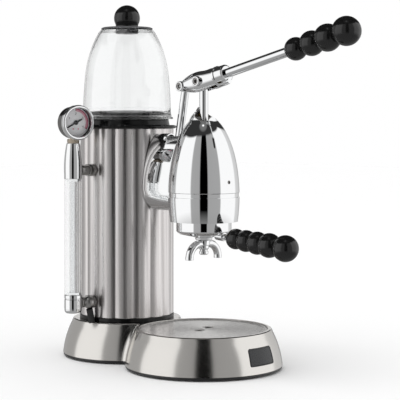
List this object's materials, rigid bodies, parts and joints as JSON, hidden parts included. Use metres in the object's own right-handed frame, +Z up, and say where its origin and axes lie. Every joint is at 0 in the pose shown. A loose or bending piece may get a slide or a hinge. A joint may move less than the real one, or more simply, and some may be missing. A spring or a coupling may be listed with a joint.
{
  "type": "espresso machine",
  "caption": "Manual lever espresso machine with a fluted column, clear water tank, egg-shaped group, sight glass with gauge, drip tray and removable portafilter.",
  "frame": {"origin": "on the standing plane, on the axis of the column", "axes": "+Z up, -Y towards the user, -X towards the sight glass"},
  "size_m": [0.2163, 0.4822, 0.4617],
  "materials": {
    "base_steel": "polished, fine turned grain",
    "plate_steel": "turned grain, satin",
    "column_steel": "bright, drawn along the flutes",
    "chrome": "mirror",
    "pewter": "satin cast",
    "black_gloss": "glossy, moulded",
    "black_satin": "satin, moulded",
    "lid_grey": "satin, moulded",
    "tank_clear": "clear, moulded",
    "guard_clear": "clear tube",
    "rubber": "matt",
    "badge_black": "blank, satin enamel",
    "brass": "machined",
    "inner_steel": "plain sheet",
    "fastener": "machined",
    "gauge_case": "polished",
    "dial": "printed scale without lettering",
    "needle": "black enamel"
  },
  "bodies": {
    "machine": {"base_shell": "base_steel", "base_plate": "black_satin", "feet": "rubber", "drip_tray": "plate_steel", "badge_plate": "badge_black", "power_switch": "black_satin", "cord_gland": "black_satin", "column_foot_ring": "black_satin", "column_jacket": "column_steel", "boiler_body": "inner_steel", "boiler_cap": "inner_steel", "heating_element": "inner_steel", "pressure_switch": "inner_steel", "safety_valve": "brass", "feed_tube": "inner_steel", "tank_tray": "black_satin", "tank_strainer": "black_satin", "tank_dome": "tank_clear", "sight_top_fitting": "chrome", "sight_guard_tube": "guard_clear", "sight_inner_tube": "guard_clear", "sight_bottom_cap": "chrome", "sight_upper_arm": "pewter", "sight_lower_arm": "pewter", "sight_drain_tube": "rubber", "gauge_case": "gauge_case", "gauge_bezel": "chrome", "gauge_dial": "dial", "gauge_glass": "guard_clear", "neck_cover_lower": "chrome", "neck_cover_upper": "chrome", "neck_tube": "brass", "group_cover_lower": "chrome", "group_cover_upper": "chrome", "cover_screws": "fastener", "group_cylinder": "brass", "group_cap": "brass", "group_gasket": "rubber", "shower_screen": "inner_steel", "steam_valve": "chrome"},
    "piston_assembly": {"piston": "brass", "piston_seals": "rubber", "piston_rod": "chrome"},
    "lever": {"lever_head": "chrome", "lever_tube": "chrome", "lever_grip": "black_gloss", "lever_pins": "fastener"},
    "link": {"lever_link": "chrome"},
    "portafilter": {"portafilter_body": "chrome", "filter_basket": "inner_steel", "portafilter_spout": "chrome", "portafilter_stem": "chrome", "portafilter_grip": "black_gloss"},
    "tank_cover": {"tank_lid": "lid_grey", "lid_knob": "black_gloss"},
    "drip_plate": {"drip_plate": "plate_steel"},
    "steam_knob": {"steam_knob": "black_gloss"},
    "steam_wand": {"steam_wand": "chrome"},
    "gauge_needle": {"gauge_needle": "needle"},
    "power_rocker": {"power_rocker": "black_gloss"}
  },
  "joints": [
    {"name": "piston_slide", "type": "slide", "parent": "machine", "child": "piston_assembly", "axis": [0, 0, 1], "range_m": [-0.007, 0.021]},
    {"name": "lever_swing", "type": "hinge", "parent": "piston_assembly", "child": "lever", "pos_m": [0, -0.144, 0.358], "axis": [-1, 0, 0], "range_deg": [-15, 50]},
    {"name": "link_tilt", "type": "hinge", "parent": "lever", "child": "link", "pos_m": [0, -0.112, 0.3524], "axis": [-1, 0, 0], "range_deg": [-60, 19]},
    {"name": "portafilter_turn", "type": "hinge", "parent": "machine", "child": "portafilter", "pos_m": [0, -0.144, 0.18], "axis": [0, 0, 1], "range_deg": [-45, 0]},
    {"name": "lid_lift", "type": "slide", "parent": "machine", "child": "tank_cover", "axis": [0, 0, 1], "range_m": [0, 0.06]},
    {"name": "drip_plate_lift", "type": "slide", "parent": "machine", "child": "drip_plate", "axis": [0, 0, 1], "range_m": [0, 0.03]},
    {"name": "steam_knob_turn", "type": "hinge", "parent": "machine", "child": "steam_knob", "pos_m": [0.085, 0, 0.26], "axis": [0, 0, 1], "range_deg": [0, 270]},
    {"name": "steam_wand_swivel", "type": "hinge", "parent": "machine", "child": "steam_wand", "pos_m": [0.085, 0, 0.22], "axis": [0, 0, 1], "range_deg": [-120, 20]},
    {"name": "gauge_needle_turn", "type": "hinge", "parent": "machine", "child": "gauge_needle", "pos_m": [-0.092, 0, 0.3064], "axis": [0.2079, 0.9781, 0], "range_deg": [0, 236], "stiffness_Nm_per_rad": 0.0004},
    {"name": "power_rocker_tilt", "type": "hinge", "parent": "machine", "child": "power_rocker", "pos_m": [0.06666, 0.03544, 0.02262], "axis": [-0.2434, -0.1294, 0.9613], "range_deg": [0, 14]}
  ],
  "couplings": [
    {"joint": "piston_slide", "follows": "lever_swing", "m_per_rad": 0.022},
    {"joint": "link_tilt", "follows": "lever_swing", "ratio": -1.17}
  ]
}
